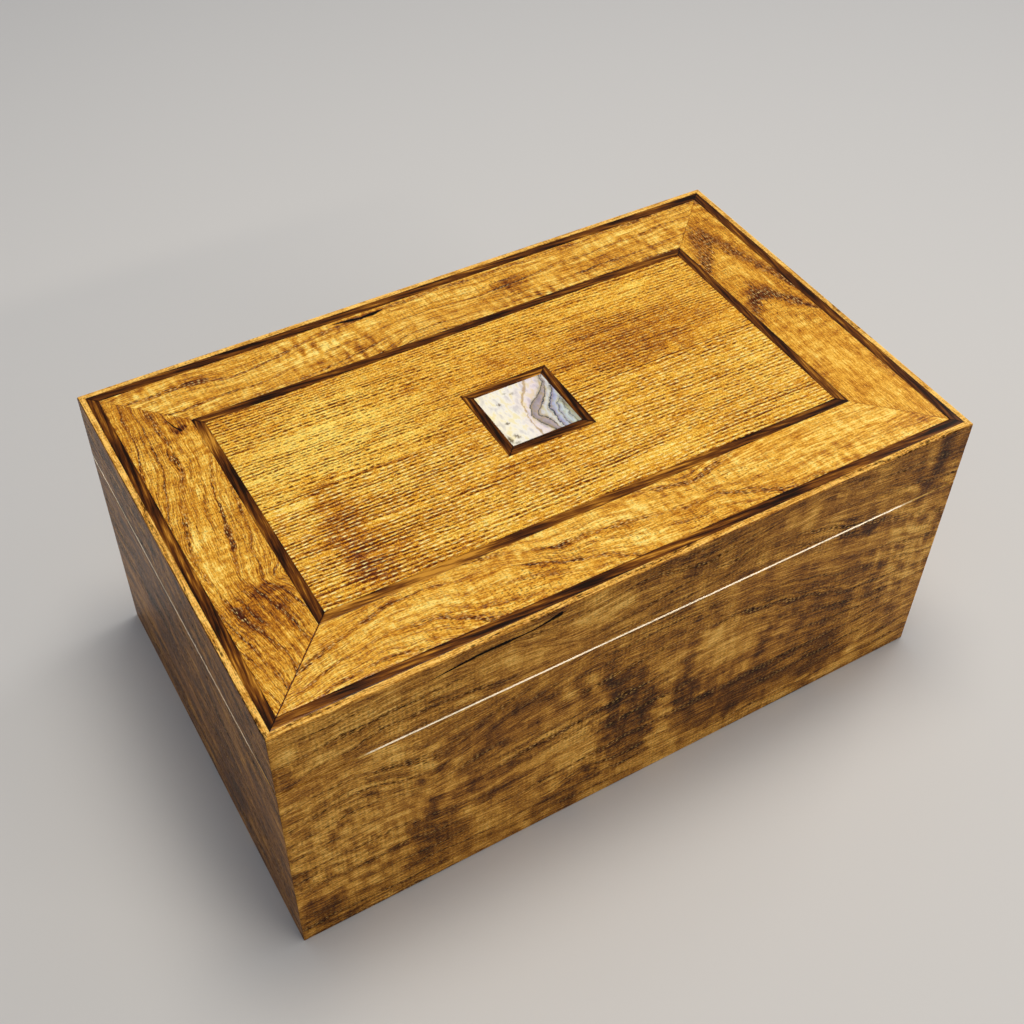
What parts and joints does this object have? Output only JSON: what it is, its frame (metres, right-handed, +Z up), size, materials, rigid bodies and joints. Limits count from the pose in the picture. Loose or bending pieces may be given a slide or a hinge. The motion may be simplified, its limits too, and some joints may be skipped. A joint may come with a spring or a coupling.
{
  "type": "decorative wooden box",
  "caption": "Rectangular lacquered wooden keepsake box with mitred corners and a lift-off lid inlaid with dark stringing, a figured border and a framed shell square.",
  "frame": {"origin": "middle of the underside, on the surface that the box stands on", "axes": "+X along the length, +Y from the front to the back, +Z up"},
  "size_m": [0.29, 0.18, 0.13],
  "materials": {
    "ash": "gloss lacquer over open pores",
    "stringing": "gloss lacquer",
    "ground": "bare",
    "shell": "polished"
  },
  "bodies": {
    "root": {"base_front": "ash", "base_back": "ash", "base_left": "ash", "base_right": "ash", "base_bottom": "ash", "lid_front": "ash", "lid_back": "ash", "lid_left": "ash", "lid_right": "ash", "lid_ground": "ground", "outer_stringing_front": "stringing", "outer_stringing_back": "stringing", "outer_stringing_left": "stringing", "outer_stringing_right": "stringing", "border_front": "ash", "border_back": "ash", "border_left": "ash", "border_right": "ash", "inner_stringing_front": "stringing", "inner_stringing_back": "stringing", "inner_stringing_left": "stringing", "inner_stringing_right": "stringing", "field_front": "ash", "field_back": "ash", "shell_frame_front": "stringing", "shell_frame_back": "stringing", "shell_frame_left": "stringing", "shell_frame_right": "stringing", "shell_inlay": "shell"}
  },
  "joints": []
}
